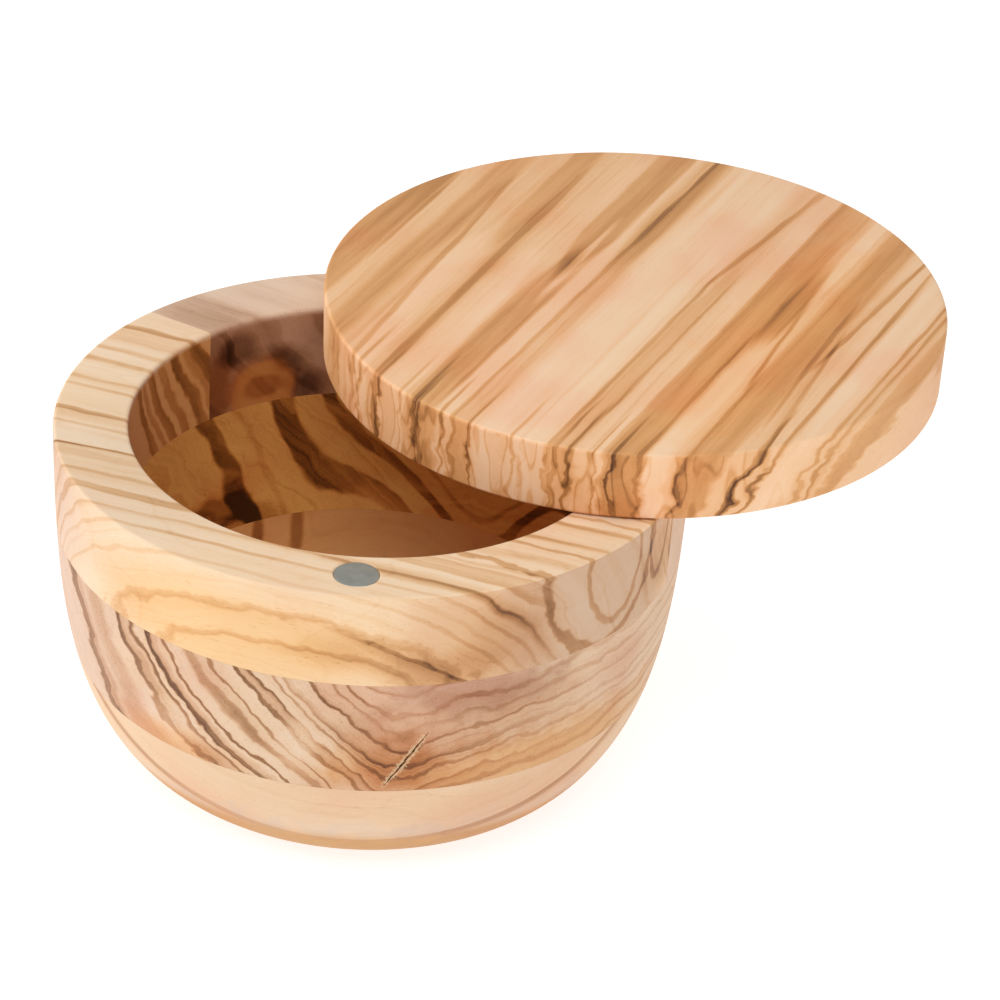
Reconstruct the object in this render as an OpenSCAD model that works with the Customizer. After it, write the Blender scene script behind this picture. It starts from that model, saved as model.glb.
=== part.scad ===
// Turned wooden salt box: three glued layers of olive wood, and a flat lid
// that swivels on an upright pin in the back of the rim. A magnet in the
// front of the rim meets one in the lid when the lid is closed.
// The origin is the centre of the foot, on the bowl's axis. The magnet is
// at -Y and the pin at +Y. The lid is drawn part open.

/* [Bowl outside] */
// Radius of the bowl at the rim
rim_r = 57.5; // [50:0.5:70]
// Height of the bowl from the foot to the rim
body_h = 67.5; // [58:0.5:90]
// Radius of the flat foot
foot_r = 30; // [22:0.5:38]
// How far the wall leans in over the whole height, apart from its curve
wall_lean = 2.2; // [0:0.1:4]
// How low the wall starts to curve in: a higher value starts lower
wall_hold = 3.5; // [2.5:0.1:5]
// How tight the turn into the foot is: a higher value is tighter
wall_turn = 2.06; // [1.7:0.02:3]

/* [Bowl inside] */
// Thickness of the wall at the rim
rim_wall = 13.5; // [12:0.5:16]
// Thickness of the wood under the bowl's floor
floor_h = 11.5; // [8:0.5:14]
// Radius of the flat part of the bowl's floor
floor_r = 28; // [20:0.5:32]
// How low the inner wall starts to curve in
cove_hold = 3.5; // [2.5:0.1:5]
// How tight the cove at the floor is
cove_turn = 2.5; // [1.8:0.1:3.5]

/* [Layers] */
// Height of the rim layer
rim_h = 18.5; // [15:0.5:22]
// Height of the middle layer
middle_h = 24; // [16:0.5:28]
// Distance of the glued seam between the rim's two boards from the axis
seam_shift = 10.7; // [0:0.1:24]
// Direction of the seam, which follows the grain of the rim
seam_angle = -29.4; // [-45:0.1:45]

/* [Lid] */
// How far the lid's edge lies inside the rim's edge when it is closed
lid_inset = 0.4; // [0:0.1:3]
// Thickness of the lid
lid_h = 13.2; // [11:0.1:18]
// How much smaller the lid's underside is than its top, in radius
lid_taper = 0.3; // [0:0.1:1.5]
// Gap between the rim and the lid
lid_gap = 0.3; // [0.3:0.05:1]
// How far the lid is drawn open, about the pin
lid_open = 66.3; // [0:0.1:180]
// Radius of the softened edges of the rim and the lid
edge_r = 0.7; // [0.3:0.1:1.5]

/* [Pin and magnets] */
// Distance of the pin and the magnets from the rim's outer edge
seat_inset = 7.5; // [6.5:0.1:8.5]
// Radius of the pin
pin_r = 2.5; // [1.5:0.1:3]
// Depth of the pin in the rim
pin_in_rim = 13; // [8:0.5:14]
// Depth of the pin in the lid
pin_in_lid = 9; // [6:0.5:9.5]
// Radial gap of the pin in the lid, in which it turns
pin_play = 0.05; // [0.02:0.01:0.1]
// Radius of the washer between the rim and the lid
washer_r = 4.8; // [4:0.1:5.5]
// Gap left between the washer and the lid
washer_play = 0.05; // [0.03:0.01:0.15]
// Radius of each magnet
magnet_r = 4; // [2.5:0.1:4.5]
// Thickness of each magnet
magnet_h = 3; // [2:0.1:5]
// Film of glue round a magnet or the seated end of the pin
glue = 0.03; // [0.02:0.01:0.06]

/* [Hidden] */

$fn = 96;
wall_steps = 6;                        // points along a layer's wall
cove_steps = 22;                       // points along the base's curves
edge_steps = 5;                        // points along a softened edge
cavity_r = rim_r - rim_wall;
cavity_h = body_h - floor_h;
lid_r = rim_r - lid_inset;
seat_r = rim_r - seat_inset;           // pin and magnets, from the axis
lid_z = body_h + lid_gap;              // underside of the lid
middle_z = body_h - rim_h;             // glue line under the rim
base_z = middle_z - middle_h;          // glue line under the middle layer
washer_h = lid_gap - washer_play;
pin_end_play = 0.4;                    // above the pin, in the lid's hole
far = 2 * rim_r;                       // reaches past every piece

// A point of a turned wall at the angle t, from 0 at the rim to 90 where the
// wall meets the flat at its foot. The wall leans in, then turns in like a
// quarter of an ellipse with the powers hold and turn.
function turned(t, top_r, low_r, lean, h, hold, turn) =
    let (q = pow(sin(t), 2 / hold), in = 1 - pow(cos(t), 2 / turn))
    [top_r - lean * q - (top_r - lean - low_r) * in, body_h - h * q];

// The angle t at which a turned wall passes the height z
function turn_at(z, h, hold) = asin(pow((body_h - z) / h, hold / 2));

function wall_point(t) = turned(t, rim_r, foot_r, wall_lean, body_h, wall_hold, wall_turn);
function cavity_point(t) = turned(t, cavity_r, floor_r, 0, cavity_h, cove_hold, cove_turn);

// The outer wall upwards from z0 to z1
function wall_up(z0, z1, steps) =
    let (a = turn_at(z0, body_h, wall_hold), b = turn_at(z1, body_h, wall_hold))
    [for (i = [0:steps]) wall_point(a + (b - a) * i / steps)];

// The inner wall downwards from z1 to z0
function cavity_down(z1, z0, steps) =
    let (a = turn_at(z1, cavity_h, cove_hold), b = turn_at(z0, cavity_h, cove_hold))
    [for (i = [0:steps]) cavity_point(a + (b - a) * i / steps)];

// A softened edge about the point c, from the angle a to a + 90
function soft_edge(c, a) =
    [for (i = [1:edge_steps]) c + edge_r * [cos(a + 90 * i / edge_steps), sin(a + 90 * i / edge_steps)]];

module turned_solid(outline) {
    rotate_extrude($fn = $fn) polygon(outline);
}

module at_pin() {
    translate([0, seat_r, 0]) children();
}

module at_magnet() {
    translate([0, -seat_r, 0]) children();
}

// What belongs to the lid is drawn closed, then swung open about the pin
module on_open_lid() {
    at_pin() rotate([0, 0, lid_open]) translate([0, -seat_r, 0]) children();
}

module disc(r, h, z) {
    translate([0, 0, z]) cylinder(r = r, h = h);
}

// The whole rim layer, before it is parted at the seam
module rim_ring() {
    soft_z = body_h - edge_r;
    outside = wall_up(middle_z, soft_z, wall_steps);
    inside = cavity_down(soft_z, middle_z, wall_steps);
    top_outside = outside[wall_steps] - [edge_r, 0];
    top_inside = inside[0] + [edge_r, 0];
    turned_solid(concat(outside, soft_edge(top_outside, 0), [top_inside + [0, edge_r]],
        soft_edge(top_inside, 90), [for (i = [1:wall_steps]) inside[i]]));
}

// The half space in front of the seam (side -1) or behind it (side 1)
module seam_side(side) {
    rotate([0, 0, seam_angle]) translate([-far, side > 0 ? seam_shift : seam_shift - 2 * far, 0])
        cube([2 * far, 2 * far, 2 * body_h]);
}

module base_block() {
    color("burlywood")
    turned_solid(concat([[0, 0]], wall_up(0, base_z, cove_steps),
        cavity_down(base_z, floor_h, cove_steps), [[0, floor_h]]));
}

module middle_ring() {
    color("peru")
    turned_solid(concat(wall_up(base_z, middle_z, wall_steps),
        cavity_down(middle_z, base_z, wall_steps)));
}

module rim_front_board() {
    color("wheat") difference() {
        intersection() {
            rim_ring();
            seam_side(-1);
        }
        at_magnet() disc(magnet_r + glue, far, body_h - magnet_h);
    }
}

module rim_back_board() {
    color("tan") difference() {
        intersection() {
            rim_ring();
            seam_side(1);
        }
        at_pin() disc(pin_r + glue, far, body_h - pin_in_rim);
    }
}

module rim_magnet() {
    color("slategray") at_magnet() disc(magnet_r, magnet_h, body_h - magnet_h);
}

module pivot_pin() {
    color("silver") at_pin() disc(pin_r, pin_in_rim + lid_gap + pin_in_lid, body_h - pin_in_rim);
}

module pivot_washer() {
    color("ivory") at_pin() difference() {
        disc(washer_r, washer_h, body_h);
        disc(pin_r + glue, far, body_h - washer_h);
    }
}

module lid_board() {
    low_r = lid_r - lid_taper;
    low = [low_r - edge_r, lid_z + edge_r];
    high = [lid_r - edge_r, lid_z + lid_h - edge_r];
    color("sandybrown") on_open_lid() difference() {
        turned_solid(concat([[0, lid_z], low - [0, edge_r]], soft_edge(low, -90),
            [high + [edge_r, 0]], soft_edge(high, 0), [[0, lid_z + lid_h]]));
        at_pin() disc(pin_r + pin_play, pin_in_lid + pin_end_play + lid_gap, body_h);
        at_magnet() disc(magnet_r + glue, magnet_h + lid_gap, body_h);
    }
}

module lid_magnet() {
    color("slategray") on_open_lid() at_magnet() disc(magnet_r, magnet_h, lid_z);
}

base_block();
middle_ring();
rim_front_board();
rim_back_board();
rim_magnet();
pivot_pin();
pivot_washer();
lid_board();
lid_magnet();
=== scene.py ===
import math
import random
import bmesh
import bpy
from mathutils import Matrix, Vector


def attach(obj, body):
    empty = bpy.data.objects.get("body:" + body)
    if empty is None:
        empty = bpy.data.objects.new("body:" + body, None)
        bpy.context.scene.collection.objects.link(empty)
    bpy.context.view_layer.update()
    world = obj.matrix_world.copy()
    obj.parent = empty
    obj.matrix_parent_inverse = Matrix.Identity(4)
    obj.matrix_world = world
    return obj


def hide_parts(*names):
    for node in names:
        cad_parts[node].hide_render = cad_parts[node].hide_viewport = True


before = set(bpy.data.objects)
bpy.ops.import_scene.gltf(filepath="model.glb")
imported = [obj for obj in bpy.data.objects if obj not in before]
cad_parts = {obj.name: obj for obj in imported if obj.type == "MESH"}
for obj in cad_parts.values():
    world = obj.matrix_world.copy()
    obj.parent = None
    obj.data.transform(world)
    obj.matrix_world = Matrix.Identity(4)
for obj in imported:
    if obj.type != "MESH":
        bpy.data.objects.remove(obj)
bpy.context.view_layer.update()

mm = 0.001  # the frame is in metres, the sizes below are in millimetres


# Small helpers for node trees

def paint(code):
    # a hex colour as seen on screen, made linear
    parts = [int(code[i:i + 2], 16) / 255 for i in (0, 2, 4)]
    return [c / 12.92 if c < 0.04045 else ((c + 0.055) / 1.055) ** 2.4 for c in parts] + [1.0]


def plug(tree, value, socket):
    # a link where value is a socket, else a constant
    if isinstance(value, bpy.types.NodeSocket):
        tree.links.new(value, socket)
    else:
        socket.default_value = value


def add(tree, kind, inputs=(), **settings):
    made = tree.nodes.new(kind)
    for name, value in settings.items():
        setattr(made, name, value)
    for name, value in dict(inputs).items():
        plug(tree, value, made.inputs[name])
    return made


def maths(tree, operation, *values, clamp=False):
    return add(tree, "ShaderNodeMath", enumerate(values), operation=operation, use_clamp=clamp).outputs[0]


def times(tree, one, two):
    return maths(tree, "MULTIPLY", one, two)


def timesPlus(tree, one, two, more):
    return maths(tree, "MULTIPLY_ADD", one, two, more)


def minus(tree, one, two, clamp=False):
    return maths(tree, "SUBTRACT", one, two, clamp=clamp)


def vectors(tree, operation, *values, result="Vector"):
    return add(tree, "ShaderNodeVectorMath", enumerate(values), operation=operation).outputs[result]


def split(tree, vector):
    return add(tree, "ShaderNodeSeparateXYZ", {"Vector": vector}).outputs


def join(tree, x, y, z):
    return add(tree, "ShaderNodeCombineXYZ", {"X": x, "Y": y, "Z": z}).outputs[0]


def noiseAt(tree, vector, scale, detail, roughness=0.5, seed=None):
    given = {"Vector": vector, "Scale": scale, "Detail": detail, "Roughness": roughness}
    if seed is None:
        return add(tree, "ShaderNodeTexNoise", given).outputs[0]
    return add(tree, "ShaderNodeTexNoise", {**given, "W": seed}, noise_dimensions="4D").outputs[0]


def smooth(tree, value, low, high, bottom=0.0, top=1.0):
    # a soft step of value from low to high
    return add(tree, "ShaderNodeMapRange", {
        "Value": value, "From Min": low, "From Max": high, "To Min": bottom, "To Max": top},
        interpolation_type="SMOOTHSTEP").outputs["Result"]


def between(tree, share, one, two):
    return add(tree, "ShaderNodeMix", {0: share, 2: one, 3: two}, data_type="FLOAT").outputs[0]


def newGroup(name, inputs, outputs):
    # a shader group and its ends; an input that isn't a number is a vector
    tree = bpy.data.node_groups.new(name, "ShaderNodeTree")
    for label, value in inputs.items():
        kind = "NodeSocketFloat" if isinstance(value, float) else "NodeSocketVector"
        socket = tree.interface.new_socket(label, in_out="INPUT", socket_type=kind)
        if value is not None:
            socket.default_value = value
    for label in outputs:
        tree.interface.new_socket(label, in_out="OUTPUT", socket_type="NodeSocketFloat")
    return tree, add(tree, "NodeGroupInput").outputs, add(tree, "NodeGroupOutput").inputs


def useGroup(tree, group, **inputs):
    made = add(tree, "ShaderNodeGroup", node_tree=group)
    for name, value in inputs.items():
        plug(tree, value, made.inputs[name[0].upper() + name[1:]])
    return made.outputs


# Shared effects of the wood. Every vector is in millimetres: X along the
# grain, Y across it, Z up from the board's top face.

def makePlanesGroup():
    # growth rings as leaning planes; the lean changes across the board
    tree, given, out = newGroup("ringPlanes", {
        "Vector": None, "LeanLow": 0.0, "LeanHigh": 0.0,
        "TurnFrom": -1.0, "TurnTo": 1.0}, ["Ring"])
    parts = split(tree, given["Vector"])
    lean = smooth(tree, parts["Y"], given["TurnFrom"], given["TurnTo"], given["LeanLow"], given["LeanHigh"])
    plug(tree, timesPlus(tree, parts["Z"], lean, parts["Y"]), out["Ring"])
    return tree


def makeBendGroup():
    # growth rings that come down steeply on one side and then run out flat
    tree, given, out = newGroup("ringBend", {
        "Vector": None, "LeanLow": 0.3, "LeanHigh": 1.0,
        "TurnFrom": -50.0, "TurnTo": -5.0, "Hinge": 20.0,
        "BendFrom": 0.0, "BendTo": 12.0, "FlatPlace": 30.0,
        "FlatDepth": 1.0, "FlatAcross": 0.2}, ["Ring"])
    parts = split(tree, given["Vector"])
    lean = smooth(tree, parts["Y"], given["TurnFrom"], given["TurnTo"], given["LeanLow"], given["LeanHigh"])
    below = maths(tree, "ADD", parts["Z"], given["Hinge"])
    steep = timesPlus(tree, below, lean, parts["Y"])
    sunk = timesPlus(tree, parts["Z"], given["FlatDepth"], given["FlatPlace"])
    flat = minus(tree, sunk, times(tree, parts["Y"], given["FlatAcross"]))
    turn = smooth(tree, parts["Y"], given["BendFrom"], given["BendTo"])
    plug(tree, between(tree, turn, steep, flat), out["Ring"])
    return tree


def makeWanderGroup():
    # lets the rings wander; Still holds them in place at the top face
    tree, given, out = newGroup("ringWander", {
        "Vector": None, "Ring": 0.0, "Amount": 1.0,
        "Size": 12.0, "Stretch": 6.0, "Still": 0.0,
        "Seed": 0.0}, ["Ring"])
    along = maths(tree, "DIVIDE", 1.0, times(tree, given["Size"], given["Stretch"]))
    across = maths(tree, "DIVIDE", 1.0, given["Size"])
    place = vectors(tree, "MULTIPLY", given["Vector"], join(tree, along, across, across))
    noise = noiseAt(tree, place, 1.0, 2.0, 0.45, given["Seed"])
    parts = split(tree, given["Vector"])
    below = smooth(tree, maths(tree, "ABSOLUTE", parts["Z"]), 0.0, 5.0)
    free = minus(tree, 1.0, times(tree, given["Still"], minus(tree, 1.0, below)))
    swing = times(tree, minus(tree, noise, 0.5), times(tree, free, 2.0))
    plug(tree, timesPlus(tree, swing, given["Amount"], given["Ring"]), out["Ring"])
    return tree


def makeStreakGroup():
    # adds one dark or light streak to the tone: a core that tapers to its
    # ends, and on one side a shoulder that fades
    tree, given, out = newGroup("streak", {
        "Ring": 0.0, "Along": 0.0, "Tone": 0.0, "Vary": 0.5,
        "Place": 0.0, "Width": 1.0, "Edge": 0.4, "Fade": 0.01,
        "Start": -99.0, "End": 99.0, "Drift": 0.0,
        "Strength": 0.5}, ["Tone"])
    taper = 22.0  # how long the pointed ends are
    centre = timesPlus(tree, given["Along"], given["Drift"], given["Place"])
    gap = minus(tree, given["Ring"], centre)
    fromStart = maths(tree, "DIVIDE", minus(tree, given["Along"], given["Start"]), taper)
    fromEnd = maths(tree, "DIVIDE", minus(tree, given["End"], given["Along"]), taper)
    reach = maths(tree, "POWER", maths(tree, "MINIMUM", fromStart, fromEnd, clamp=True), 0.8)
    half = times(tree, given["Width"], times(tree, reach, 0.5))
    core = smooth(tree, maths(tree, "ABSOLUTE", gap), half, maths(tree, "ADD", half, given["Edge"]), 1.0, 0.0)
    beyond = maths(tree, "DIVIDE", gap, times(tree, given["Fade"], reach))
    side = times(tree, minus(tree, 1.0, beyond, clamp=True), maths(tree, "GREATER_THAN", beyond, 0.0))
    both = maths(tree, "MAXIMUM", core, times(tree, side, 0.55))
    mask = times(tree, both, smooth(tree, reach, 0.0, 0.6))
    lively = times(tree, mask, timesPlus(tree, given["Vary"], 0.7, 0.65))
    plug(tree, timesPlus(tree, lively, given["Strength"], given["Tone"]), out["Tone"])
    return tree


def makeFineGroup():
    # thin lines that keep to the rings, a slow shading across them, and how
    # strongly a streak shows from place to place
    tree, given, out = newGroup("fineRings", {
        "Vector": None, "Ring": 0.0, "Spacing": 2.0,
        "Seed": 0.0}, ["Lines", "Threads", "Broad", "Vary"])
    parts = split(tree, given["Vector"])
    share = maths(tree, "DIVIDE", given["Ring"], given["Spacing"])

    def along(slow, across, turn, detail, roughness=0.5):
        place = join(tree, times(tree, parts["X"], slow), across, times(tree, parts["Z"], slow * 1.5))
        return noiseAt(tree, place, 1.0, detail, roughness, maths(tree, "ADD", given["Seed"], turn))

    plug(tree, smooth(tree, along(0.010, share, 0.0, 3.0, 0.6), 0.52, 0.72), out["Lines"])
    plug(tree, along(0.012, times(tree, share, 4.2), 3.3, 2.0, 0.7), out["Threads"])
    plug(tree, along(0.009, times(tree, given["Ring"], 0.12), 7.0, 2.0), out["Broad"])
    plug(tree, smooth(tree, along(0.022, times(tree, given["Ring"], 0.3), 12.0, 2.0), 0.3, 0.7), out["Vary"])
    return tree


def makeContourGroup():
    # thin dark lines that wander, part and close in loops, as the figure of
    # olive wood does on sawn ends
    tree, given, out = newGroup("contourLines", {
        "Vector": None, "Stretch": (0.01, 0.2, 0.12), "Width": 0.02,
        "Seed": 0.0}, ["Lines", "Patch"])
    place = vectors(tree, "MULTIPLY", given["Vector"], given["Stretch"])
    noise = noiseAt(tree, place, 1.0, 1.5, seed=given["Seed"])
    masks = []
    for level in (0.42, 0.56):
        gap = maths(tree, "ABSOLUTE", minus(tree, noise, level))
        masks.append(smooth(tree, gap, 0.0, given["Width"], 1.0, 0.0))
    plug(tree, maths(tree, "MAXIMUM", *masks), out["Lines"])
    plug(tree, smooth(tree, noise, 0.50, 0.58), out["Patch"])
    return tree


def makeFibreGroup():
    # fine fibres and open pores, both drawn out along the grain
    tree, given, out = newGroup("fibresAndPores", {"Vector": None},
                                ["Fibre", "Pore", "Height"])
    fibre = noiseAt(tree, vectors(tree, "MULTIPLY", given["Vector"], (0.12, 2.6, 2.6)), 1.0, 4.0, 0.65)
    dashes = noiseAt(tree, vectors(tree, "MULTIPLY", given["Vector"], (0.45, 3.4, 3.4)), 1.0, 1.0)
    pore = smooth(tree, dashes, 0.66, 0.74)
    plug(tree, fibre, out["Fibre"])
    plug(tree, pore, out["Pore"])
    plug(tree, minus(tree, fibre, pore), out["Height"])
    return tree


def makePatchGroup():
    # a soft spot round a point, as wide as Radii in each direction
    tree, given, out = newGroup("patch", {
        "Vector": None, "Centre": None, "Radii": (1.0, 1.0, 1.0),
        "Edge": 0.5, "Wobble": 0.5}, ["Mask", "Distance"])
    gap = vectors(tree, "SUBTRACT", given["Vector"], given["Centre"])
    reach = vectors(tree, "LENGTH", vectors(tree, "DIVIDE", gap, given["Radii"]), result="Value")
    far = times(tree, reach, timesPlus(tree, given["Wobble"], 1.4, 0.3))
    inner, outer = minus(tree, 1.0, given["Edge"]), maths(tree, "ADD", 1.0, given["Edge"])
    plug(tree, smooth(tree, far, inner, outer, 1.0, 0.0), out["Mask"])
    plug(tree, far, out["Distance"])
    return tree


def makeCrackGroup():
    # how far a point lies from the straight line between two points
    tree, given, out = newGroup("nearCrack", {
        "Vector": None, "From": None, "To": None,
        "Wobble": 0.5}, ["Distance"])
    line = vectors(tree, "SUBTRACT", given["To"], given["From"])
    here = vectors(tree, "SUBTRACT", given["Vector"], given["From"])
    along = vectors(tree, "DOT_PRODUCT", here, line, result="Value")
    whole = vectors(tree, "DOT_PRODUCT", line, line, result="Value")
    share = maths(tree, "DIVIDE", along, whole, clamp=True)
    nearest = add(tree, "ShaderNodeVectorMath", {0: line, "Scale": share}, operation="SCALE").outputs[0]
    gap = vectors(tree, "DISTANCE", here, nearest, result="Value")
    plug(tree, times(tree, gap, timesPlus(tree, given["Wobble"], 1.2, 0.4)), out["Distance"])
    return tree


planesGroup = makePlanesGroup()
bendGroup = makeBendGroup()
wanderGroup = makeWanderGroup()
streakGroup = makeStreakGroup()
fineGroup = makeFineGroup()
contourGroup = makeContourGroup()
fibreGroup = makeFibreGroup()
patchGroup = makePatchGroup()
crackGroup = makeCrackGroup()
print("stage: shared wood effects built")


def ramp(tree, value, codes):
    # seven colours from tone 0, the palest sapwood, to 1, the darkest line
    made = add(tree, "ShaderNodeValToRGB", {"Fac": value})
    band = made.color_ramp
    while len(band.elements) < len(codes):
        band.elements.new(0.5)
    for element, place, code in zip(band.elements, (0.0, 0.18, 0.36, 0.54, 0.72, 0.86, 1.0), codes):
        element.position = place
        element.color = paint(code)
    return made.outputs["Color"]


def blend(tree, share, under, over, mode="MIX"):
    return add(tree, "ShaderNodeMix", {0: share, 6: under, 7: over}, data_type="RGBA",
               blend_type=mode).outputs[2]


# multiplies a colour over the wood, for its stains and also for painted shade and painted light
def tintOver(tree, share, colour, code):
    return blend(tree, share, colour, paint(code), "MULTIPLY")


def newMaterial(name):
    material = bpy.data.materials.new(name)
    material.use_nodes = True
    material.node_tree.nodes.clear()
    return material, material.node_tree


def skinOn(tree, inputs):
    skin = add(tree, "ShaderNodeBsdfPrincipled", inputs)
    plug(tree, skin.outputs[0], add(tree, "ShaderNodeOutputMaterial").inputs["Surface"])


def bumpOf(tree, strength, distance, height):
    given = {"Strength": strength, "Distance": distance, "Height": height}
    return add(tree, "ShaderNodeBump", given).outputs[0]


plainStreak = (0.01, -99, 99, 0)  # the fade, start, end and drift of a streak that gives none


def streaksOn(tree, tone, streaks, ring, along, vary):
    for streak in streaks:
        where, width, edge, strength, fade, start, end, drift = streak + plainStreak[len(streak) - 4:]
        tone = useGroup(tree, streakGroup, ring=ring, along=along, tone=tone, vary=vary, place=where,
                        width=width, edge=edge, fade=fade, start=start, end=end, strength=strength,
                        drift=drift)["Tone"]
    return tone


def oliveWood(name, board):
    # one board's wood, from the board's own dictionary
    material, tree = newMaterial(name)
    place = add(tree, "ShaderNodeTexCoord").outputs["Object"]
    angle = math.radians(board["grainAngle"])
    vector = add(tree, "ShaderNodeMapping", {
        "Vector": place, "Location": [v * mm for v in board["centre"]], "Rotation": [0, 0, angle],
        "Scale": [mm, mm, mm]}, vector_type="TEXTURE").outputs[0]
    parts = split(tree, vector)
    along = times(tree, parts["X"], board["way"])
    seed = board["seed"]

    def wander(ring, values, turn):
        return useGroup(tree, wanderGroup, vector=vector, ring=ring, seed=seed + turn, **values)["Ring"]

    if "bend" in board:
        ring = useGroup(tree, bendGroup, vector=vector, **board["bend"])["Ring"]
    else:
        ring = useGroup(tree, planesGroup, vector=vector, **board["planes"])["Ring"]
    for turn, values in enumerate(board["wander"]):
        ring = wander(ring, values, turn)
    fine = useGroup(tree, fineGroup, vector=vector, ring=ring, spacing=board["lineSpacing"], seed=seed)
    fibres = useGroup(tree, fibreGroup, vector=vector)
    wobble = timesPlus(tree, minus(tree, noiseAt(tree, vector, 0.22, 2.0), 0.5), board["ragged"], 0.5)

    def patchAt(centre, radii, edge=0.5):
        return useGroup(tree, patchGroup, vector=vector, wobble=wobble, centre=centre, radii=radii, edge=edge)

    def spotsOn(tone, spots):
        for centre, radii, edge, strength in spots:
            tone = timesPlus(tree, patchAt(centre, radii, edge)["Mask"], strength, tone)
        return tone

    ground = timesPlus(tree, minus(tree, fine["Broad"], 0.5), board["broad"], board["tone"])
    ground = timesPlus(tree, fine["Lines"], board["lines"], ground)
    ground = timesPlus(tree, minus(tree, fine["Threads"], 0.5), board["threads"], ground)

    # where the surface is a wall, and where it cuts across the grain
    normal = add(tree, "ShaderNodeTexCoord").outputs["Normal"]
    onWall = smooth(tree, maths(tree, "ABSOLUTE", split(tree, normal)["Z"]), 0.35, 0.75, 1.0, 0.0)
    facing = vectors(tree, "DOT_PRODUCT", normal, [math.cos(angle), math.sin(angle), 0], result="Value")
    cutAcross = smooth(tree, maths(tree, "ABSOLUTE", facing), 0.40, 0.90)

    stretch, width, onEnds, elsewhere = board["contour"]
    contour = useGroup(tree, contourGroup, vector=vector, stretch=stretch, width=width, seed=seed + 4)
    figure = timesPlus(tree, cutAcross, onEnds, elsewhere)
    ground = timesPlus(tree, contour["Lines"], figure, ground)
    ground = timesPlus(tree, times(tree, contour["Patch"], figure), 0.5, ground)
    tone = streaksOn(tree, ground, board["streaks"], ring, along, fine["Vary"])
    for centre, radii, edge, share in board.get("calm", []):
        spot = times(tree, times(tree, patchAt(centre, radii, edge)["Mask"], onWall), share)
        tone = between(tree, spot, tone, ground)
    tone = spotsOn(tone, board.get("spots", []))
    for centre, radii, width, line, shade in board.get("loops", []):
        far = patchAt(centre, radii)["Distance"]
        gap = maths(tree, "ABSOLUTE", minus(tree, far, 1.0))
        tone = timesPlus(tree, smooth(tree, gap, width * 0.4, width, 1.0, 0.0), line, tone)
        shaded = times(tree, smooth(tree, far, 0.7, 1.0), maths(tree, "LESS_THAN", far, 1.0))
        tone = timesPlus(tree, shaded, shade, tone)
    # the inner walls: their own grain, and a darker tone that is painted shade of the hollow
    if "inside" in board:
        inside = board["inside"]
        flat = vectors(tree, "MULTIPLY", place, (1, 1, 0))
        radius = vectors(tree, "LENGTH", flat, result="Value")
        within = times(tree, smooth(tree, radius, 46 * mm, 49 * mm, 1.0, 0.0),
                       smooth(tree, parts["Z"], -1.6, -0.5, 1.0, 0.0))
        innerRing = ring
        if "bend" in inside:
            innerRing = useGroup(tree, bendGroup, vector=vector, **inside["bend"])["Ring"]
            innerRing = wander(innerRing, board["wander"][0], 9)
        deeper = maths(tree, "ADD", ground, inside["tone"])
        deeper = streaksOn(tree, deeper, inside["streaks"], innerRing, along, fine["Vary"])
        tone = between(tree, within, tone, spotsOn(deeper, inside["spots"]))
    tone = timesPlus(tree, minus(tree, fibres["Fibre"], 0.5), board["fibre"], tone)
    tone = timesPlus(tree, fibres["Pore"], board["pores"], tone)

    colour = ramp(tree, tone, board["colours"])
    blush = smooth(tree, noiseAt(tree, vector, 0.035, 2.0), 0.42, 0.66, 0.0, board["blush"])
    colour = tintOver(tree, blush, colour, board["blushColour"])
    # stains, and at the base's foot painted light
    for centre, radii, edge, code, share in board.get("stainsAndPaintedLight", []):
        colour = tintOver(tree, times(tree, patchAt(centre, radii, edge)["Mask"], share), colour, code)
    for centre, radii, edge, code, share in board.get("wallStains", []):
        spot = times(tree, patchAt(centre, radii, edge)["Mask"], onWall)
        colour = tintOver(tree, times(tree, spot, share), colour, code)
    # painted shade: a colour over the outer walls keeps them a little darker than the top faces
    if "outside" in board:
        colour = tintOver(tree, times(tree, onWall, minus(tree, 1.0, within)), colour, board["outside"])
    colour = tintOver(tree, times(tree, cutAcross, board["endGrain"]), colour, "f5e6da")
    if "crack" in board:
        crack = board["crack"]
        rough = noiseAt(tree, vector, 2.4, 3.0)
        far = useGroup(tree, crackGroup, vector=vector, wobble=rough, **crack["line"])["Distance"]
        colour = blend(tree, smooth(tree, far, 0.8, 1.2, 0.85, 0.0), colour, paint(crack["lip"]))
        # dark pits along the crack's line: painted shade deep in the crack
        pits = times(tree, smooth(tree, far, 0.4, 0.66, 0.95, 0.0), smooth(tree, rough, 0.46, 0.53, 0.1, 1.0))
        colour = blend(tree, pits, colour, paint(crack["pit"]))
    # painted shade of the hollow: a tint that makes the inner walls darker and warmer
    if "inside" in board:
        colour = tintOver(tree, within, colour, inside["tint"])
    skinOn(tree, {"Base Color": colour, "Roughness": smooth(tree, tone, 0.0, 1.0, 0.62, 0.48),
                  "Normal": bumpOf(tree, board["relief"], 0.00008, fibres["Height"]),
                  "Specular IOR Level": 0.2})
    return material


# Geometry Nodes: everything here was turned, so one tree turns an outline
# about the upright axis

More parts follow.
